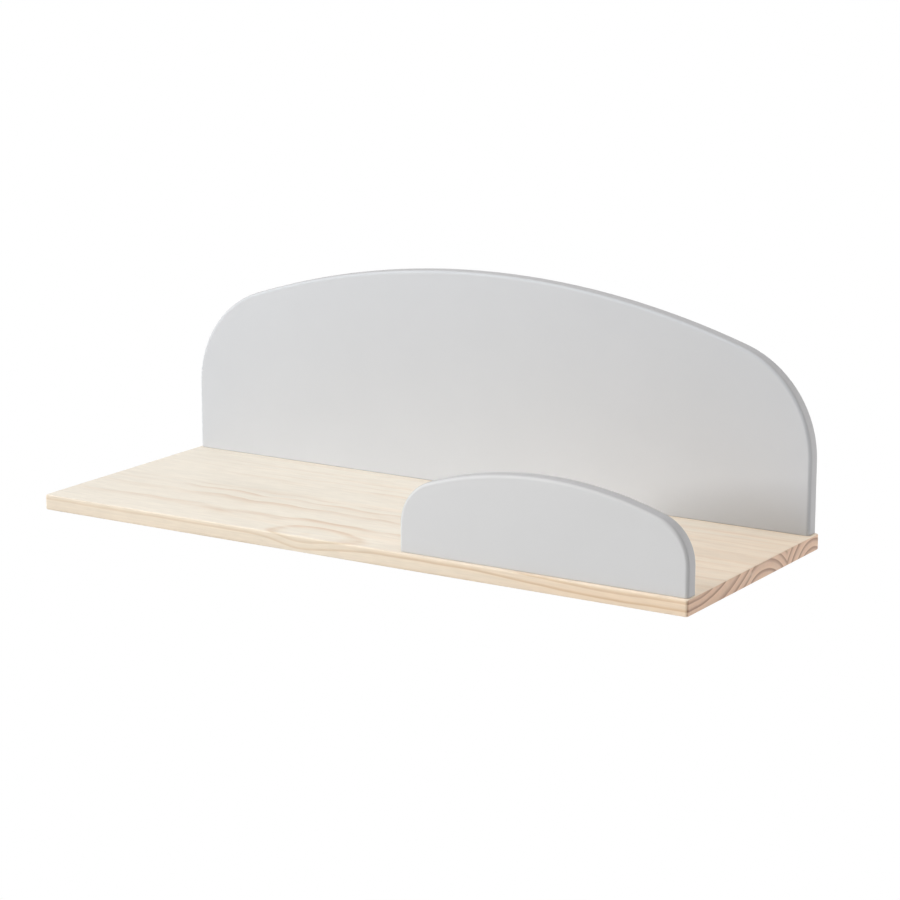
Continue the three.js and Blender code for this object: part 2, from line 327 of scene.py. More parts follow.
# A fluted dowel: radius - share times flute depth times the square of (1 - cos(flutes times angle)) / 2.
# Each row of its profile is a height, a radius and that share
def makeDowel(nodeName):
    low, high = boxOf(nodeName)
    radius, length = (high[0] - low[0]) / 2, high[2] - low[2]
    chamfer, flutes = dowelShape["chamfer"], dowelShape["flutes"]
    profile = [
        (0, 0, 0),
        (0, radius - chamfer, 0),
        (chamfer, radius, 0.4),
        (2 * chamfer, radius, 1),
        (length / 2, radius, 1),
        (length - 2 * chamfer, radius, 1),
        (length - chamfer, radius, 0.4),
        (length, radius - chamfer, 0),
        (length, 0, 0),
    ]
    heights, radii, share = np.array(profile).T[:, :, None]
    turns = np.linspace(0, 4 * quarter, flutes * 6 + 1)  # 6 steps to a flute
    wave = (0.5 - 0.5 * np.cos(flutes * turns)) ** 2
    grid = turnedGrid(radii - share * dowelShape["fluteDepth"] * wave, heights, turns)
    side = grid[1:-1]
    ends = [gridPatch(grid[:2], (0, 0, -1)), gridPatch(grid[-2:], (0, 0, 1))]
    origin = ((low[0] + high[0]) / 2, (low[1] + high[1]) / 2, low[2])
    return pieceFromPatches(nodeName, [gridPatch(side, roundNormals(side)), *ends], origin)


# Room round fasteners and plates, and past the ends of fasteners
fit = {"clearance": 0.3 * mm, "endClearance": 0.5 * mm}


# The middles of the screws and dowels of one row, with their lowest and highest Z
def fastenerRow(prefix, counts):
    row = {}
    for kind, count in counts.items():
        boxes = [boxOf(f"{prefix}_{kind}_{i + 1}") for i in range(count)]
        row[kind] = [((low + high) / 2, low[2], high[2]) for low, high in boxes]
    return row


panelRow = fastenerRow("panel", {"screw": 5, "dowel": 4})
fenceRow = fastenerRow("fence", {"screw": 3, "dowel": 2})
boardHeadRadius = np.ptp(boxOf("panel_screw_1"), axis=0)[0] / 2
screwHoleRadius = boardScrew["diameter"] / 2 + fit["clearance"]
dowelHoleRadius = np.ptp(boxOf("panel_dowel_1"), axis=0)[0] / 2 + fit["clearance"]


# Steps of a blind hole: straight down and flat across
def blindHole(radius, depth):
    return [(radius, 0), (radius, depth), (0, depth)]


# Steps of a hole right through for a countersunk screw whose head lies that deep, with room all round
def countersunkHole(screw, headRadius, thickness, sink=0.0):
    gap = fit["clearance"]
    wide, narrow = headRadius + gap, screw["diameter"] / 2 + gap
    rimDepth, coneDepth = sink + screw["headRim"] + gap, sink + screw["headHeight"] + gap
    return [(wide, 0), (wide, rimDepth), (narrow, coneDepth), (narrow, thickness)]


# The uprights: v is up from the base, w is forward from the back face
uprightAxes = np.array([[1, 0, 0], [0, 0, 1], [0, -1, 0]], float)
uprightEdges = {"edgeRadius": 4 * mm, "footChamfer": 0.7 * mm}
backPanelShape = {"cornerRadius": 122 * mm, "crownRise": 44 * mm, **uprightEdges}
frontFenceShape = {"cornerRadius": 50 * mm, "crownRise": 19 * mm, **uprightEdges}

# Keyhole hangers let into the back panel. A wall screw holds each slot at its upper centre, at height 0
hangerShape = {
    "keyholeRadius": 5 * mm,
    "slotRadius": 2.6 * mm,
    "travel": 12 * mm,
    "pocketRadius": 6.5 * mm,
    "pocketDepth": 10 * mm,
    "cornerRadius": 1.5 * mm,
    "edgeRadius": 0.25 * mm,
}


# Arched outline from the foot of its right side over the crown to the foot of its left side. The crown's
# radius is the one that touches both corner arcs from outside:
# (corner x squared + (corner radius + rise) squared - corner radius squared) / (2 rise)
def archPath(width, height, shape, cornerSteps=36, crownSteps=140):
    radius, rise, foot = shape["cornerRadius"], shape["crownRise"], shape["footChamfer"]
    cornerX, sideHeight = width / 2 - radius, height - radius - rise
    crownRadius = (cornerX**2 + (radius + rise) ** 2 - radius**2) / (2 * rise)
    crownZ = height - crownRadius
    turn = np.arctan2(sideHeight - crownZ, cornerX)
    crown = arc((0, crownZ), crownRadius, turn, np.pi - turn, crownSteps)
    return joined(
        (np.array([[width / 2, foot]]), np.array([[1, 0]])),
        arc((cornerX, sideHeight), radius, 0, turn, cornerSteps),
        (crown[0][1:-1], crown[1][1:-1]),  # the corner arcs hold its ends
        arc((-cornerX, sideHeight), radius, np.pi - turn, np.pi, cornerSteps),
        (np.array([[-width / 2, foot]]), np.array([[-1, 0]])),
    )


# Loop of a rectangle whose corners carry both sides' normals
def rectangleLoop(low, high):
    corners = [(low[0], low[1]), (high[0], low[1]), (high[0], high[1]), (low[0], high[1])]
    return joined(*(straight(a, b) for a, b in zip(corners, corners[1:] + corners[:1])))


# Boxes of the two small screws of one hanger plate
def hangerScrewBoxes(side):
    return [boxOf(f"{side}_hanger_{end}_screw") for end in ("lower", "upper")]


# The seat of one hanger plate: a shallow rectangle, and in its floor the deep pocket with round ends and
# two blind screw holes. Gives its surfaces, and its outline in the panel's back face
def hangerSeat(side, origin):
    low, high = boxOf(f"{side}_hanger_plate")
    gap, depth = fit["clearance"], high[1] - low[1]
    middle, hangZ = (low[0] + high[0]) / 2 - origin[0], -origin[2]
    seat = rectangleLoop((low - gap - origin)[[0, 2]], (high + gap - origin)[[0, 2]])
    radius, travel, pocketDepth = (hangerShape[key] for key in ("pocketRadius", "travel", "pocketDepth"))
    pocket = joined(
        arc((middle, hangZ), radius, 0, 2 * quarter, 20),
        arc((middle, hangZ - travel), radius, 2 * quarter, 4 * quarter, 20),
    )
    patches = [
        holeWall(*seat, 0, depth),
        holeWall(*pocket, depth, pocketDepth),
        flatPatch([loopAt(pocket[0], pocketDepth)], (0, 0, -1)),
    ]
    holes = []
    for screwLow, screwHigh in hangerScrewBoxes(side):
        centre = (middle, (screwLow[2] + screwHigh[2]) / 2 - origin[2], depth)
        length = screwHigh[1] - screwLow[1] - depth + fit["endClearance"]
        walls, mouth, _ = drill(centre, 2, 1, blindHole(plateScrew["diameter"] / 2 + gap, length))
        patches += walls
        holes.append(mouth)
    floor = flatPatch([loopAt(seat[0], depth), loopAt(pocket[0], depth), *holes], (0, 0, -1))
    return patches + [floor], loopAt(seat[0], 0)


# An upright: a slab with the arched outline, holes up into its base, and any hanger seats in its back
def makeUpright(nodeName, shape, row, seatSides=()):
    low, high = boxOf(nodeName)
    origin = np.array([(low[0] + high[0]) / 2, high[1], low[2]])
    width, thickness, height = high - low
    patches, baseHoles, seats = [], [], []
    for kind, radius in (("screw", screwHoleRadius), ("dowel", dowelHoleRadius)):
        for middle, _, top in row[kind]:
            centre = (middle[0] - origin[0], 0, origin[1] - middle[1])
            depth = top + fit["endClearance"] - origin[2]
            walls, mouth, _ = drill(centre, 1, 1, blindHole(radius, depth))
            patches += walls
            baseHoles.append(mouth)
    for side in seatSides:
        seatPatches, seatLoop = hangerSeat(side, origin)
        patches += seatPatches
        seats.append(seatLoop)
    path = archPath(width, height, shape)
    patches += slab([path], thickness, shape["edgeRadius"], seats, (), baseHoles, foot=shape["footChamfer"])
    return pieceFromPatches(nodeName, patches, origin, uprightAxes)


# The board is three staves: u is X, v is Y, w is up from the underside
boardShape = {"edgeRadius": 2 * mm, "cornerRadius": 3 * mm}
boardLow, boardHigh = boxOf("front_stave")[0], boxOf("back_stave")[1]


# Holes of one row in a stave: screws go right through with a countersink below, dowels are blind from above
def staveHoles(row):
    patches, lowHoles, highHoles = [], [], []
    thickness = boardHigh[2] - boardLow[2]
    for middle, bottom, _ in row["screw"]:
        steps = countersunkHole(boardScrew, boardHeadRadius, thickness, bottom - boardLow[2])
        walls, mouth, outlet = drill((middle[0], middle[1], 0), 2, 1, steps)
        patches += walls
        lowHoles.append(mouth)
        highHoles.append(outlet)
    for middle, bottom, _ in row["dowel"]:
        depth = boardHigh[2] - bottom + fit["endClearance"]
        walls, mouth, _ = drill((middle[0], middle[1], thickness), 2, -1, blindHole(dowelHoleRadius, depth))
        patches += walls
        highHoles.append(mouth)
    return patches, lowHoles, highHoles


# Rim of the front stave from the back of its left end, round its two corners, to the back of its right end
def frontRim(low, high, radius):
    left, right, front = low[0] + radius, high[0] - radius, low[1] + radius
    return joined(
        straight((low[0], high[1]), (low[0], front)),
        arc((left, front), radius, 2 * quarter, 3 * quarter, 8),
        arc((right, front), radius, 3 * quarter, 4 * quarter, 8),
        straight((high[0], front), (high[0], high[1])),
    )


# A stave: a slab whose rim runs along the board's outer edges only, cut flat where it is glued to the next.
# The back stave's rim is the front one's given half a turn about its middle: low + high - point
def makeStave(nodeName, row=None):
    low, high = boxOf(nodeName)
    points, normals = frontRim(low, high, boardShape["cornerRadius"])
    paths = {
        "front_stave": [(points, normals)],
        "middle_stave": [straight((high[0], low[1]), high[:2]), straight((low[0], high[1]), low[:2])],
        "back_stave": [((low + high)[:2] - points, -normals)],
    }
    patches, lowHoles, highHoles = staveHoles(row) if row else ([], [], [])
    patches += slab(paths[nodeName], high[2] - low[2], boardShape["edgeRadius"], lowHoles, highHoles)
    return pieceFromPatches(nodeName, patches, (0, 0, low[2]))


# A hanger plate with round corners, its keyhole and two countersunk holes: v is up from the slot's upper
# centre, w is forward from the wall. The slot meets the keyhole's circle at the angle whose cosine is
# slot radius / keyhole radius
def makeHangerPlate(side):
    low, high = boxOf(f"{side}_hanger_plate")
    origin = np.array([(low[0] + high[0]) / 2, high[1], 0.0])
    corner, thickness = hangerShape["cornerRadius"], high[1] - low[1]
    across, bottom, top = (high[0] - low[0]) / 2 - corner, low[2] + corner, high[2] - corner
    centres = [(across, bottom), (across, top), (-across, top), (-across, bottom)]
    outline = joined(*(arc(at, corner, (i - 1) * quarter, i * quarter, 6) for i, at in enumerate(centres)))
    radius, slotRadius, travel = (hangerShape[key] for key in ("keyholeRadius", "slotRadius", "travel"))
    meet = np.arccos(slotRadius / radius)
    meetZ = radius * np.sin(meet) - travel
    keyhole = joined(
        straight((slotRadius, meetZ), (slotRadius, 0)),
        arc((0, 0), slotRadius, 0, 2 * quarter, 20),
        straight((-slotRadius, 0), (-slotRadius, meetZ)),
        arc((0, -travel), radius, 2 * quarter - meet, 4 * quarter + meet, 40),
    )
    patches = [holeWall(*keyhole, 0, thickness)]
    lowHoles, highHoles = [loopAt(keyhole[0], 0)], [loopAt(keyhole[0], thickness)]
    for screwLow, screwHigh in hangerScrewBoxes(side):
        steps = countersunkHole(plateScrew, (screwHigh[0] - screwLow[0]) / 2, thickness)
        walls, mouth, outlet = drill((0, (screwLow[2] + screwHigh[2]) / 2, 0), 2, 1, steps)
        patches += walls
        lowHoles.append(mouth)
        highHoles.append(outlet)
    patches += slab([outline], thickness, hangerShape["edgeRadius"], lowHoles, highHoles, closed=True)
    return pieceFromPatches(f"{side}_hanger_plate", patches, origin, uprightAxes)


# Shader helpers
noiseSpan = (0.3, 0.7)  # nearly all of a noise's values lie in it


# A colour written as sRGB numbers from 0 to 255, as the shader's linear colour: share / 12.92 for the
# darkest, and ((share + 0.055) / 1.055) to the power of 2.4 above them
def tone(red, green, blue):
    share = np.array([red, green, blue]) / 255
    linear = np.where(share <= 0.04045, share / 12.92, ((share + 0.055) / 1.055) ** 2.4)
    return (*linear.tolist(), 1.0)


# One node. Values go to its inputs by name or number, and a socket among them is linked
def addNode(tree, kind, values=None, **settings):
    node = tree.nodes.new(kind)
    for key, setting in settings.items():
        setattr(node, key, setting)
    for key, value in (values or {}).items():
        if isinstance(value, bpy.types.NodeSocket):
            tree.links.new(value, node.inputs[key])
        else:
            node.inputs[key].default_value = value
    return node


# One step of arithmetic on sockets and numbers
def calc(tree, operation, *values):
    return addNode(tree, "ShaderNodeMath", dict(enumerate(values)), operation=operation).outputs[0]


# a + b
def plus(tree, a, b):
    return calc(tree, "ADD", a, b)


# a - b
def minus(tree, a, b):
    return calc(tree, "SUBTRACT", a, b)


# a times b
def times(tree, a, b):
    return calc(tree, "MULTIPLY", a, b)


# a squared + b squared
def sumOfSquares(tree, a, b):
    return plus(tree, times(tree, a, a), times(tree, b, b))


# The X, Y and Z of a vector, by name
def partsOf(tree, vector):
    return addNode(tree, "ShaderNodeSeparateXYZ", {0: vector}).outputs


# A value taken from one range to another and held at both ends: a smooth step, t squared times (3 - 2t), or
# linear. A first range that runs down turns the step round
def fade(tree, value, source, target=(0.0, 1.0), way="SMOOTHSTEP"):
    ends = dict(zip(("From Min", "From Max", "To Min", "To Max"), (*source, *target)))
    return addNode(tree, "ShaderNodeMapRange", {"Value": value, **ends}, interpolation_type=way).outputs[0]


# From the first colour to the second by the factor, or in another of Blender's modes
def blendColours(tree, factor, first, second, mode="MIX"):
    values = {0: factor, 6: first, 7: second}
    return addNode(tree, "ShaderNodeMix", values, data_type="RGBA", blend_type=mode).outputs[2]


# A colour with its red, green and blue times one level
def dimmed(tree, colour, level):
    grey = addNode(tree, "ShaderNodeCombineXYZ", {0: level, 1: level, 2: level}).outputs[0]
    return blendColours(tree, 1.0, colour, grey, "MULTIPLY")


# Noise at a place stretched by the three numbers, from about 0 to 1
def noiseAt(tree, place, stretch, detail=2.0, roughness=0.5):
    factors = {0: place, 1: stretch}
    stretched = addNode(tree, "ShaderNodeVectorMath", factors, operation="MULTIPLY").outputs[0]
    values = {"Vector": stretched, "Scale": 1.0, "Detail": detail, "Roughness": roughness}
    return addNode(tree, "ShaderNodeTexNoise", values).outputs["Fac"]


# (noise - 0.5) times a size
def wobble(tree, place, stretch, size, detail=1.0):
    centred = minus(tree, noiseAt(tree, place, stretch, detail), 0.5)
    return times(tree, centred, size)


# A node group with named sockets, given as names under each kind. Gives its tree, inputs and outputs
def newGroup(name, inputs, outputs):
    tree = bpy.data.node_groups.new(name, "ShaderNodeTree")
    for direction, sockets in (("INPUT", inputs), ("OUTPUT", outputs)):
        for kind, names in sockets.items():
            for label in names:
                tree.interface.new_socket(name=label, in_out=direction, socket_type="NodeSocket" + kind)
    return tree, tree.nodes.new("NodeGroupInput").outputs, tree.nodes.new("NodeGroupOutput").inputs


# A group placed in a tree with its own values
def useGroup(tree, group, values):
    return addNode(tree, "ShaderNodeGroup", values, node_tree=group).outputs


# A new material: its tree, the place on the piece, the piece's normal, and its Principled shader
def newMaterial(name, shaderValues):
    material = bpy.data.materials.new(name)
    material.use_nodes = True
    tree = material.node_tree
    shader = tree.nodes["Principled BSDF"]
    for key, value in shaderValues.items():
        shader.inputs[key].default_value = value
    coordinates = addNode(tree, "ShaderNodeTexCoord").outputs
    return material, tree, coordinates["Object"], coordinates["Normal"], shader


# What a material gives its shader: the colour, a bump from the height and, where the gloss follows a noise,
# the roughness between the look's two values
def linkLook(tree, shader, look, colour, height, gloss=None):
    tree.links.new(colour, shader.inputs["Base Color"])
    bump = {"Height": height, "Strength": look["bump"], "Distance": look["bumpHeight"]}
    tree.links.new(addNode(tree, "ShaderNodeBump", bump).outputs[0], shader.inputs["Normal"])
    if gloss is not None:
        roughness = fade(tree, gloss, noiseSpan, look["roughness"], "LINEAR")
        tree.links.new(roughness, shader.inputs["Roughness"])


# How fine the pine's figure is along X and across it, as stretches of noise
pineNoise = {
    "wander": (5.0, 11.0, 11.0),  # slow bends of the rings
    "waver": (26.0, 40.0, 40.0),  # small ones
    "kinks": (19.0, 5.0, 5.0),  # sideways jogs, which make the zigzag lines on the wide faces
    "patches": (9.0, 45.0, 45.0),  # where the lines on the wide faces show
    "bands": (3.0, 45.0, 45.0),  # the ragged start of the warm tint
    "clouds": (3.0, 14.0, 14.0),
    "fibres": (14.0, 620.0, 620.0),
    "dashes": (42.0, 190.0, 190.0),  # faint short strokes
    "canals": (70.0, 1500.0, 1500.0),  # resin canals, fine and darker
}
# Between which X the figure changes, from the first to the second
pineZones = {
    "bends": (320 * mm, 120 * mm),
    "figure": (-500 * mm, -120 * mm),
    "faceContrast": (100 * mm, 360 * mm),
    "edgeContrast": (-350 * mm, 300 * mm),
    "warmth": (300 * mm, 950 * mm),
}
pineLook = {
    "waver": 1.4 * mm,  # size of the small bends
    "warmBands": 900 * mm,  # how much further to the left the bands of the warm tint may reach
    "endPower": 0.65,  # of the latewood on the ends, which widens its dark bands
    "edgeFacing": (0.35, 0.85),  # part of the normal along Y at which a wide face becomes a long edge
    "endFacing": (0.55, 0.85),  # and along X, an end
    "edgeLatewood": (0.5, 1.0),  # how much of it the long edges show on the left and on the right
    "patchSpan": (0.2, 0.6),  # noise between which a patch of lines comes in
    "canalSpan": (0.68, 0.78),  # and a canal
    "streaks": (0.93, 1.06),  # levels of the colour
    "dashes": 0.05,  # how much darker they are
    "canals": 0.1,
    # painted light: the colour grows paler to the right to make up for the lamps' fall-off from the left
    "slant": 0.1,  # paler to the right by this for each metre, and by twice as much on the long edges
    "roughness": (0.42, 0.56),
    "bump": 0.35,
    "bumpHeight": 0.12 * mm,
}
pineShader = {"Coat Weight": 0.08, "Coat Roughness": 0.5}


# Distance from a stave's pith, which runs along X: the length of (y - pith y + waver + kinks,
# z - pith z - bend), where bend = lift - dip + wander + waver. The lift is Lift + Lift End on the left and
# Lift End at the right, where the kinks end too. The dip is its depth times e to the power of
# -(along squared + across squared), both counted in the dip's own widths
def buildRingDistance():
    figureNames = ("Pith Y", "Pith Z", "Lift", "Lift End", "Wander", "Kinks")
    dipNames = ("Dip X", "Dip Y", "Dip Depth", "Dip Left", "Dip Right", "Dip Across")
    inputs = {"Vector": ("Place",), "Float": figureNames + dipNames}
    tree, given, made = newGroup("ringDistance", inputs, {"Float": ("Radius",)})
    place = given["Place"]
    at = partsOf(tree, place)
    bent = fade(tree, at["X"], pineZones["bends"])
    lift = plus(tree, given["Lift End"], times(tree, given["Lift"], bent))
    fromDip = minus(tree, at["X"], given["Dip X"])
    rightOf = calc(tree, "DIVIDE", fromDip, given["Dip Right"])
    leftOf = calc(tree, "DIVIDE", times(tree, fromDip, -1.0), given["Dip Left"])
    along = calc(tree, "MAXIMUM", rightOf, leftOf)
    across = calc(tree, "DIVIDE", minus(tree, at["Y"], given["Dip Y"]), given["Dip Across"])
    falling = calc(tree, "EXPONENT", times(tree, sumOfSquares(tree, along, across), -1.0))
    dip = times(tree, given["Dip Depth"], falling)
    wander = wobble(tree, place, pineNoise["wander"], given["Wander"])
    waver = wobble(tree, place, pineNoise["waver"], pineLook["waver"])
    kinks = wobble(tree, place, pineNoise["kinks"], times(tree, given["Kinks"], bent), 0.5)
    fromPith = minus(tree, at["Y"], given["Pith Y"])
    offY = plus(tree, fromPith, plus(tree, waver, kinks))
    bend = plus(tree, minus(tree, lift, dip), plus(tree, wander, waver))
    offZ = minus(tree, minus(tree, at["Z"], given["Pith Z"]), bend)
    tree.links.new(calc(tree, "SQRT", sumOfSquares(tree, offY, offZ)), made["Radius"])
    return tree


# Colour and height of planed softwood. Latewood goes from 0 to 1 across each ring. On the wide faces it
# shows in patches, its contrast going from Left Contrast to Right Contrast. Edge and End are 1 on the long
# edges and on the ends, where it shows more. Towards the right the wood takes on the Warm tint.
# Level of the colour: streaks - canals - dashes + painted light, X times the slope times (1 + Edge).
# Height: 0.2 latewood - canals + 0.5 fibres. Streak: 0.7 fibres + 0.3 clouds
def buildPineTone():
    colours = ("Face Early", "Face Late", "Edge Early", "Edge Late", "End Early", "End Late", "Warm")
    numbers = ("Latewood", "Edge", "End", "Left Contrast", "Right Contrast")
    inputs = {"Vector": ("Place",), "Float": numbers, "Color": colours}
    tree, given, made = newGroup("pineTone", inputs, {"Color": ("Colour",), "Float": ("Height", "Streak")})
    place, latewood = given["Place"], given["Latewood"]
    along = partsOf(tree, place)["X"]
    patches = fade(tree, noiseAt(tree, place, pineNoise["patches"]), pineLook["patchSpan"])
    figure = times(tree, fade(tree, along, pineZones["figure"]), patches)
    contrasts = (given["Left Contrast"], given["Right Contrast"])
    contrast = fade(tree, along, pineZones["faceContrast"], contrasts)
    faceLatewood = times(tree, latewood, times(tree, contrast, figure))
    face = blendColours(tree, faceLatewood, given["Face Early"], given["Face Late"])
    edgeContrast = fade(tree, along, pineZones["edgeContrast"], pineLook["edgeLatewood"])
    edgeLatewood = times(tree, latewood, edgeContrast)
    edge = blendColours(tree, edgeLatewood, given["Edge Early"], given["Edge Late"])
    endLatewood = calc(tree, "POWER", latewood, pineLook["endPower"])
    end = blendColours(tree, endLatewood, given["End Early"], given["End Late"])
    base = blendColours(tree, given["End"], blendColours(tree, given["Edge"], face, edge), end)
    bands = times(tree, noiseAt(tree, place, pineNoise["bands"]), pineLook["warmBands"])
    warmth = fade(tree, plus(tree, along, bands), pineZones["warmth"])
    warm = blendColours(tree, 1.0, base, given["Warm"], "MULTIPLY")
    fibres = noiseAt(tree, place, pineNoise["fibres"], 3.0, 0.65)
    clouds = noiseAt(tree, place, pineNoise["clouds"])
    streak = plus(tree, times(tree, fibres, 0.7), times(tree, clouds, 0.3))
    dashes = fade(tree, noiseAt(tree, place, pineNoise["dashes"]), noiseSpan, (0.0, pineLook["dashes"]))
    canal = noiseAt(tree, place, pineNoise["canals"], 1.0)
    canals = fade(tree, canal, pineLook["canalSpan"], (0.0, pineLook["canals"]))
    streaks = fade(tree, streak, noiseSpan, pineLook["streaks"], "LINEAR")
    # Painted light: paler to the right, twice as fast on the long edges, for the lamps' fall-off from the
    # left
    onEdge = times(tree, given["Edge"], pineLook["slant"])
    slant = plus(tree, onEdge, pineLook["slant"])
    level = minus(tree, streaks, plus(tree, canals, dashes))
    level = plus(tree, level, times(tree, along, slant))
    tree.links.new(dimmed(tree, blendColours(tree, warmth, base, warm), level), made["Colour"])
    height = minus(tree, times(tree, latewood, 0.2), canals)
    tree.links.new(plus(tree, height, times(tree, fibres, 0.5)), made["Height"])
    tree.links.new(streak, made["Streak"])
    return tree


# Fine uneven skin for paint and metal: Pebble is a small soft bump, Mottle a broad slow change
def buildSkin():
    inputs = {"Vector": ("Place",), "Float": ("Pebble Scale", "Mottle Scale")}
    tree, given, made = newGroup("skin", inputs, {"Float": ("Pebble", "Mottle")})
    for name, detail in (("Pebble", 2.0), ("Mottle", 3.0)):
        values = {"Vector": given["Place"], "Scale": given[f"{name} Scale"], "Detail": detail}
        tree.links.new(addNode(tree, "ShaderNodeTexNoise", values).outputs["Fac"], made[name])
    return tree


ringDistance, pineTone, skin = buildRingDistance(), buildPineTone(), buildSkin()

# Pine. The colours of earlywood and latewood on the wide faces, the long edges and the ends
pineColours = {
    "Face Early": tone(246, 237, 222),
    "Face Late": tone(224, 199, 172),
    "Edge Early": tone(234, 220, 200),
    "Edge Late": tone(212, 187, 154),
    "End Early": tone(224, 194, 168),
    "End Late": tone(142, 100, 71),
    "Warm": tone(255, 245, 236),
}

# The staves, in millimetres. Rings are where each year's dark latewood ends, from the pith, with how dark
# it is. The front stave's pith lies high above it, and a dip near the middle of its front edge makes the
# closed figure on top
pineStaves = {
    "frontPine": {
        "rings": [(204, 0.5), (212, 0.8), (219.5, 1.0), (233, 0.8), (243, 0.9), (251.7, 0.8), (262, 0.7)],
        "span": (198, 272),
        "contrast": {"Left Contrast": 1.0, "Right Contrast": 0.5},
        "figure": {"Pith Y": -290, "Pith Z": 65, "Lift": 7, "Lift End": 1.5, "Wander": 4, "Kinks": 24},
        "dip": {"X": -58, "Y": -288, "Depth": 10, "Left": 34, "Right": 56, "Across": 32},
    },
    "middlePine": {
        "rings": [(40, 0.6), (49, 0.8), (58, 1.0), (68.5, 0.9), (77, 0.9), (85, 0.7), (94, 0.7)],
        "span": (34, 100),
        "contrast": {"Left Contrast": 0.4, "Right Contrast": 0.45},
        "figure": {"Pith Y": -132, "Pith Z": -206, "Lift": -3, "Lift End": 0, "Wander": 5, "Kinks": 12},
        "dip": {"X": -190, "Y": -120, "Depth": 4, "Left": 60, "Right": 90, "Across": 40},
    },
    "backPine": {
        "rings": [(33, 0.7), (42, 0.9), (51, 0.9), (63, 1.0), (73, 0.9), (82, 0.8), (92, 0.7)],
        "span": (26, 100),
        "contrast": {"Left Contrast": 0.3, "Right Contrast": 0.45},
        "figure": {"Pith Y": -17, "Pith Z": -193, "Lift": 4, "Lift End": 0, "Wander": 4, "Kinks": 12},
        "dip": {"X": 150, "Y": -30, "Depth": 0, "Left": 60, "Right": 60, "Across": 40},
    },
}


# Stops of latewood along the distance from the pith. It rises over the last 45% of each ring to its
# darkness at 0.8 mm before the ring's end, and falls to nought by 0.3 mm after it
def ringStops(rings, start):
    stops = [(start, 0.1)]
    for ringEnd, darkness in rings:
        width = ringEnd - stops[-1][0]
        stops += [(ringEnd - 0.45 * width, 0.12), (ringEnd - 0.8, darkness), (ringEnd + 0.3, 0.0)]
    return stops


# One stave's pine: distance from the pith, through a ramp with its own rings, to the shared pine colours
def makePine(name, stave):
    material, tree, place, normal, shader = newMaterial(name, pineShader)
    figure = {**stave["figure"], **{f"Dip {key}": value for key, value in stave["dip"].items()}}
    lengths = {key: value * mm for key, value in figure.items()}
    radius = useGroup(tree, ringDistance, {"Place": place, **lengths})["Radius"]
    start, end = stave["span"]
    share = fade(tree, radius, (start * mm, end * mm), way="LINEAR")
    ramp = addNode(tree, "ShaderNodeValToRGB", {"Fac": share})
    stops = ringStops(stave["rings"], start)
    elements = ramp.color_ramp.elements
    while len(elements) < len(stops):
        elements.new(0.5)
    for element, (at, value) in zip(elements, stops):
        element.position = (at - start) / (end - start)
        element.color = (value, value, value, 1)
    facing = partsOf(tree, normal)
    values = {
        "Place": place,
        "Latewood": ramp.outputs["Color"],
        "Edge": fade(tree, calc(tree, "ABSOLUTE", facing["Y"]), pineLook["edgeFacing"]),
        "End": fade(tree, calc(tree, "ABSOLUTE", facing["X"]), pineLook["endFacing"]),
    }
    wood = useGroup(tree, pineTone, {**values, **stave["contrast"], **pineColours})
    linkLook(tree, shader, pineLook, wood["Colour"], wood["Height"], wood["Streak"])
    return material


# Paint. The panel's grey is painted bluer than the fence's to cancel the warm light the board casts back on
# it
paintLook = {
    "faces": {"panelPaint": tone(208, 210, 213), "fencePaint": tone(211, 211, 211)},
    # the edges' grey: partly paint that the cut edges drank, partly painted shade that dims the edge bands
    "edge": tone(190, 189, 190),
    "edgeFacing": (0.9, 0.2),  # part of the normal along Y at which a face becomes an edge
    "level": (0.985, 1.012),
    "roughness": (0.54, 0.64),
    "pebbleScale": 420.0,
    "mottleScale": 9.0,
    "fuzzStretch": (1500.0, 1500.0, 1500.0),
    "fuzz": 0.6,
    "bump": 0.25,
    "bumpHeight": 0.03 * mm,
}
paintShader = {"Specular IOR Level": 0.35}


# Satin paint on fibreboard: even on the faces, with a little more texture where the cut edges drank it
# Its edges are a darker grey, partly from paint the cut edges drank and partly painted shade
def makePaint(name):
    material, tree, place, normal, shader = newMaterial(name, paintShader)
    scales = {"Pebble Scale": paintLook["pebbleScale"], "Mottle Scale": paintLook["mottleScale"]}
    uneven = useGroup(tree, skin, {"Place": place, **scales})
    onEdge = fade(tree, calc(tree, "ABSOLUTE", partsOf(tree, normal)["Y"]), paintLook["edgeFacing"])
    # Darker grey on the edges: partly sunk-in paint, partly painted shade
    base = blendColours(tree, onEdge, paintLook["faces"][name], paintLook["edge"])
    level = fade(tree, uneven["Mottle"], noiseSpan, paintLook["level"], "LINEAR")
    fuzz = noiseAt(tree, place, paintLook["fuzzStretch"])
    rough = times(tree, fuzz, times(tree, onEdge, paintLook["fuzz"]))
    height = plus(tree, uneven["Pebble"], rough)
    linkLook(tree, shader, paintLook, dimmed(tree, base, level), height, uneven["Mottle"])
    return material


beechLook = {
    "pale": tone(214, 178, 138),
    "brown": tone(196, 154, 112),
    "fleck": tone(150, 105, 70),
    "streakStretch": (300.0, 300.0, 20.0),
    "fleckStretch": (1500.0, 1500.0, 160.0),
    "fleckSpan": (0.6, 0.72),  # noise at which a fleck starts and is full
    "fleckShare": 0.5,
    "bump": 0.3,
    "bumpHeight": 0.05 * mm,
}
beechShader = {"Roughness": 0.65}


# Turned beech: pinkish tan with short dark flecks along the dowel
def makeBeech(name):
    material, tree, place, _, shader = newMaterial(name, beechShader)
    streak = noiseAt(tree, place, beechLook["streakStretch"], 3.0)
    fleck = noiseAt(tree, place, beechLook["fleckStretch"])
    base = blendColours(tree, fade(tree, streak, noiseSpan), beechLook["pale"], beechLook["brown"])
    flecks = fade(tree, fleck, beechLook["fleckSpan"], (0.0, beechLook["fleckShare"]))
    linkLook(tree, shader, beechLook, blendColours(tree, flecks, base, beechLook["fleck"]), fleck)
    return material


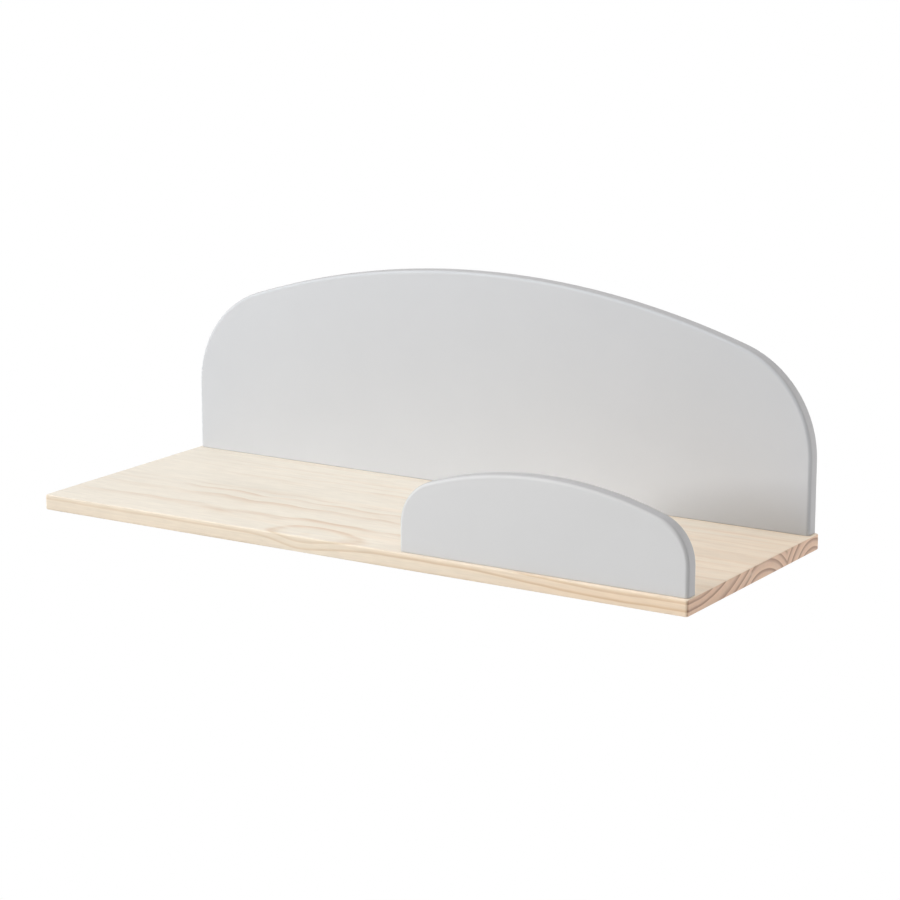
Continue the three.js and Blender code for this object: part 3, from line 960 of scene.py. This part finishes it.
steelCrystals = {"dullSpan": (0.35, 0.65), "bump": 0.15, "bumpHeight": 0.02 * mm}
steelLooks = {
    "zincPlate": {
        "bright": tone(214, 216, 218),
        "dull": tone(186, 190, 194),
        "roughness": (0.26, 0.42),
        "pebbleScale": 900.0,
        **steelCrystals,
    },
    "galvanisedSheet": {
        "bright": tone(202, 205, 208),
        "dull": tone(172, 176, 180),
        "roughness": (0.34, 0.52),
        "pebbleScale": 260.0,
        **steelCrystals,
    },
}
steelShader = {"Metallic": 1.0}


# Zinc plated steel: bright, with crystals that change its gloss a little and clouds six times as wide
def makeSteel(name, look):
    material, tree, place, _, shader = newMaterial(name, steelShader)
    scales = {"Pebble Scale": look["pebbleScale"], "Mottle Scale": look["pebbleScale"] / 6}
    uneven = useGroup(tree, skin, {"Place": place, **scales})
    dulled = fade(tree, uneven["Mottle"], look["dullSpan"])
    base = blendColours(tree, dulled, look["bright"], look["dull"])
    linkLook(tree, shader, look, base, uneven["Pebble"], uneven["Pebble"])
    return material


pine = {name: makePine(name, stave) for name, stave in pineStaves.items()}
paint = {name: makePaint(name) for name in paintLook["faces"]}
beech = makeBeech("beech")
steel = {name: makeSteel(name, look) for name, look in steelLooks.items()}
print("materials made")


# A finished piece: its material, the body it moves with, and the piece of the frame it stands for, now
# hidden
def finishPiece(piece, material, nodeName):
    piece.data.materials.append(material)
    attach(piece, "root")
    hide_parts(nodeName)


for place, row in (("front", fenceRow), ("middle", None), ("back", panelRow)):
    nodeName = f"{place}_stave"
    finishPiece(makeStave(nodeName, row), pine[f"{place}Pine"], nodeName)
print("board made")

backPanel = makeUpright("back_panel", backPanelShape, panelRow, ("left", "right"))
finishPiece(backPanel, paint["panelPaint"], "back_panel")
frontFence = makeUpright("front_fence", frontFenceShape, fenceRow)
finishPiece(frontFence, paint["fencePaint"], "front_fence")
print("uprights made")

for prefix, row in (("panel", panelRow), ("fence", fenceRow)):
    for i in range(1, len(row["screw"]) + 1):
        nodeName = f"{prefix}_screw_{i}"
        finishPiece(makeScrew(nodeName, boardScrew, np.eye(3)), steel["zincPlate"], nodeName)
    for i in range(1, len(row["dowel"]) + 1):
        nodeName = f"{prefix}_dowel_{i}"
        finishPiece(makeDowel(nodeName), beech, nodeName)
print("screws and dowels made")

for side in ("left", "right"):
    plate = makeHangerPlate(side)
    finishPiece(plate, steel["galvanisedSheet"], f"{side}_hanger_plate")
    for end in ("lower", "upper"):
        nodeName = f"{side}_hanger_{end}_screw"
        screw = makeScrew(nodeName, plateScrew, uprightAxes)
        finishPiece(screw, steel["zincPlate"], nodeName)
print("hangers made")

# Studio: a pale floor well below the shelf, a white surround and five soft square lamps. The surround gives
# no light at the front right, as if a black card stood there, which draws the uprights' right edges
studio = {
    "floorDrop": 1.25,
    "floorSize": 90.0,
    "floorColour": (0.9, 0.9, 0.9, 1),
    "shadowShare": 0.2,  # how much of the floor's real light shows below the shelf; none does far away
    "shadowReach": (1.9, 0.8),  # distances from the middle between which that share fades in
    "surround": 0.54,
    "cardWay": (0.66, -0.66, 0.35),
    "cardReach": (0.95, 0.2),  # cosines of the angle from its middle within which the card is full and ends
    "aim": (0.0, -0.15, -0.05),
    "lamps": {
        "highLamp": {"place": (-3.9, -2.4, 3.8), "size": 2.0, "power": 125.0},
        "topLamp": {"place": (1.0, -0.5, 2.2), "size": 1.8, "power": 18.5},
        "lowLamp": {"place": (-1.1, -2.6, 0.56), "size": 0.5, "power": 33.5},
        "rimLamp": {"place": (2.2, 1.2, -0.3), "size": 1.6, "power": 15.5},
        "backLamp": {"place": (0.4, 3.0, -0.1), "size": 2.0, "power": 30.0},
    },
}
view = {
    "place": (1.5549, -2.5717, 0.5928),
    "turn": 32.084,  # degrees to the left of straight back
    "tilt": 12.969,  # degrees down
    "lens": 109.97,
    "sensor": 36.0,
    "reach": (0.05, 200.0),
}


# 1 for the camera's own rays and for those that gloss and glass send back to it
def seenDirectly(tree):
    rays = addNode(tree, "ShaderNodeLightPath").outputs
    reflected = calc(tree, "MAXIMUM", rays["Is Glossy Ray"], rays["Is Transmission Ray"])
    return calc(tree, "MAXIMUM", rays["Is Camera Ray"], reflected)


# A square floor, matt to the lamps and white to the camera, apart from a share of the shelf's soft shadow:
# white = seen directly times (1 - the share, faded with the distance). From below it is clear to the camera
def makeFloor():
    half = studio["floorSize"] / 2
    height = boardLow[2] - studio["floorDrop"]
    corners = [(-half, -half, height), (half, -half, height), (half, half, height), (-half, half, height)]
    mesh = bpy.data.meshes.new("floor")
    mesh.from_pydata(corners, [], [(0, 1, 2, 3)])
    floor = newObject("floor", mesh)
    material = bpy.data.materials.new("paleFloor")
    material.use_nodes = True
    tree = material.node_tree
    tree.nodes.clear()
    matt = addNode(tree, "ShaderNodeBsdfDiffuse", {"Color": studio["floorColour"]}).outputs[0]
    white = addNode(tree, "ShaderNodeEmission", {"Color": (1, 1, 1, 1), "Strength": 1.0}).outputs[0]
    clear = addNode(tree, "ShaderNodeBsdfTransparent").outputs[0]
    at = partsOf(tree, addNode(tree, "ShaderNodeTexCoord").outputs["Object"])
    distance = calc(tree, "SQRT", sumOfSquares(tree, at["X"], at["Y"]))
    shadowed = fade(tree, distance, studio["shadowReach"], (0.0, studio["shadowShare"]))
    lifted = times(tree, seenDirectly(tree), minus(tree, 1.0, shadowed))
    fromAbove = addNode(tree, "ShaderNodeMixShader", {0: lifted, 1: matt, 2: white}).outputs[0]
    cameraRay = addNode(tree, "ShaderNodeLightPath").outputs["Is Camera Ray"]
    backface = addNode(tree, "ShaderNodeNewGeometry").outputs["Backfacing"]
    under = times(tree, backface, cameraRay)
    surface = addNode(tree, "ShaderNodeMixShader", {0: under, 1: fromAbove, 2: clear}).outputs[0]
    addNode(tree, "ShaderNodeOutputMaterial", {"Surface": surface})
    mesh.materials.append(material)


# The surround: white where it is seen directly. As light, its strength fades to nought by the cosine of the
# angle from the card's middle
def makeSurround():
    world = bpy.data.worlds.new("surround")
    bpy.context.scene.world = world
    world.use_nodes = True
    tree = world.node_tree
    tree.nodes.clear()
    direction = addNode(tree, "ShaderNodeTexCoord").outputs["Generated"]
    facing = {0: direction, 1: Vector(studio["cardWay"]).normalized()}
    cosine = addNode(tree, "ShaderNodeVectorMath", facing, operation="DOT_PRODUCT").outputs["Value"]
    strength = fade(tree, cosine, studio["cardReach"], (0.0, studio["surround"]))
    soft = addNode(tree, "ShaderNodeBackground", {"Color": (1, 1, 1, 1), "Strength": strength}).outputs[0]
    white = addNode(tree, "ShaderNodeBackground", {"Color": (1, 1, 1, 1), "Strength": 1.0}).outputs[0]
    both = addNode(tree, "ShaderNodeMixShader", {0: seenDirectly(tree), 1: soft, 2: white}).outputs[0]
    addNode(tree, "ShaderNodeOutputWorld", {"Surface": both})


# A square lamp turned to face the studio's aim
def makeLamp(name, place, size, power):
    lamp = bpy.data.lights.new(name, "AREA")
    lamp.shape, lamp.size, lamp.energy = "SQUARE", size, power
    holder = newObject(name, lamp)
    holder.location = place
    holder.rotation_euler = (Vector(studio["aim"]) - Vector(place)).to_track_quat("-Z", "Y").to_euler()


makeFloor()
makeSurround()
for name, lamp in studio["lamps"].items():
    makeLamp(name, **lamp)

camera = bpy.data.cameras.new("camera")
camera.lens, camera.sensor_width = view["lens"], view["sensor"]
camera.clip_start, camera.clip_end = view["reach"]
cameraHolder = newObject("camera", camera)
cameraHolder.location = view["place"]
cameraHolder.rotation_euler = np.radians([90 - view["tilt"], 0, view["turn"]])
bpy.context.scene.camera = cameraHolder
bpy.context.scene.view_settings.view_transform = "Standard"
print("studio and camera made")
